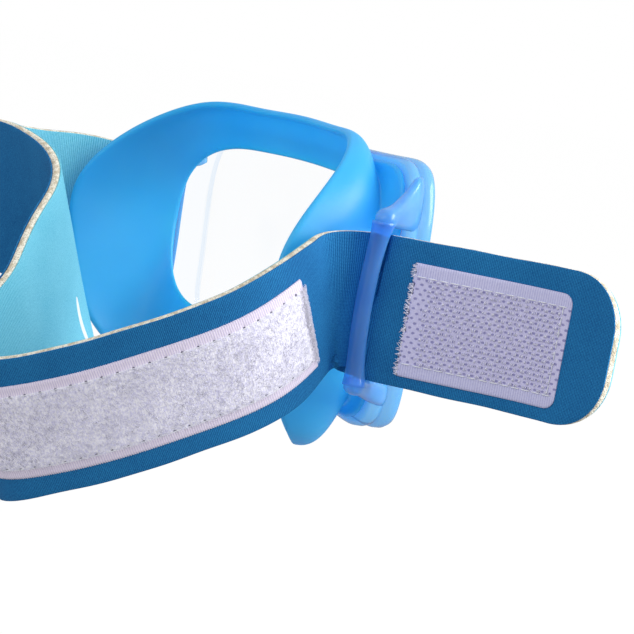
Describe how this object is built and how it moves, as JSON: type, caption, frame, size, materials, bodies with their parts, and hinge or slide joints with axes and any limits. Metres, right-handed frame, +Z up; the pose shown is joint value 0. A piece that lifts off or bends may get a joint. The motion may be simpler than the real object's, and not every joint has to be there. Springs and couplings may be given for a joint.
{
  "type": "sports protective goggles",
  "caption": "Wide single-lens swim goggles with a silicone face skirt, a clear blue frame with side strap bars and a threaded neoprene strap with hook-and-loop tabs.",
  "frame": {"origin": "centre of the mask: mid-width, on the centre line of the strap bars' height, 11 mm behind the foremost point of the frame", "axes": "+X towards the wearer's left, +Y back towards the face, +Z up; the lens looks along -Y"},
  "size_m": [0.2257, 0.1504, 0.1099],
  "materials": {
    "lens": "clear polycarbonate",
    "frame_plastic": "clear blue, polished",
    "silicone": "translucent, satin",
    "foam": "cut neoprene foam",
    "blue_cloth": "fine knitted nylon",
    "pale_cloth": "fine knitted nylon",
    "loop_tape": "brushed loops",
    "hook_tape": "woven nylon with hooks",
    "thread": "polyester thread",
    "print": "heat-transfer print"
  },
  "bodies": {
    "mask": {"lens": "lens", "front_frame": "frame_plastic", "skirt": "silicone", "right_strap_neck": "foam", "left_strap_neck": "foam"},
    "strap": {"strap_core": "foam", "strap_outer_cloth": "blue_cloth", "strap_inner_cloth": "pale_cloth", "right_loop_tape": "loop_tape", "left_loop_tape": "loop_tape", "right_loop_stitching": "thread", "left_loop_stitching": "thread", "printed_stripe": "print"},
    "right_tab": {"right_tab_core": "foam", "right_tab_outer_cloth": "blue_cloth", "right_tab_inner_cloth": "pale_cloth", "right_hook_tape": "hook_tape", "right_hook_stitching": "thread"},
    "left_tab": {"left_tab_core": "foam", "left_tab_outer_cloth": "blue_cloth", "left_tab_inner_cloth": "pale_cloth", "left_hook_tape": "hook_tape", "left_hook_stitching": "thread"}
  },
  "joints": [
    {"name": "strap_tilt", "type": "hinge", "parent": "mask", "child": "strap", "pos_m": [0, 0.017, 0], "axis": [1, 0, 0], "range_deg": [-10, 25]},
    {"name": "right_tab_fold", "type": "hinge", "parent": "mask", "child": "right_tab", "pos_m": [-0.084, 0.017, 0], "axis": [0, 0, 1], "range_deg": [-103, 6]},
    {"name": "left_tab_fold", "type": "hinge", "parent": "strap", "child": "left_tab", "pos_m": [0.084, 0.017, 0], "axis": [0, 0, 1], "range_deg": [-85, 0]}
  ]
}
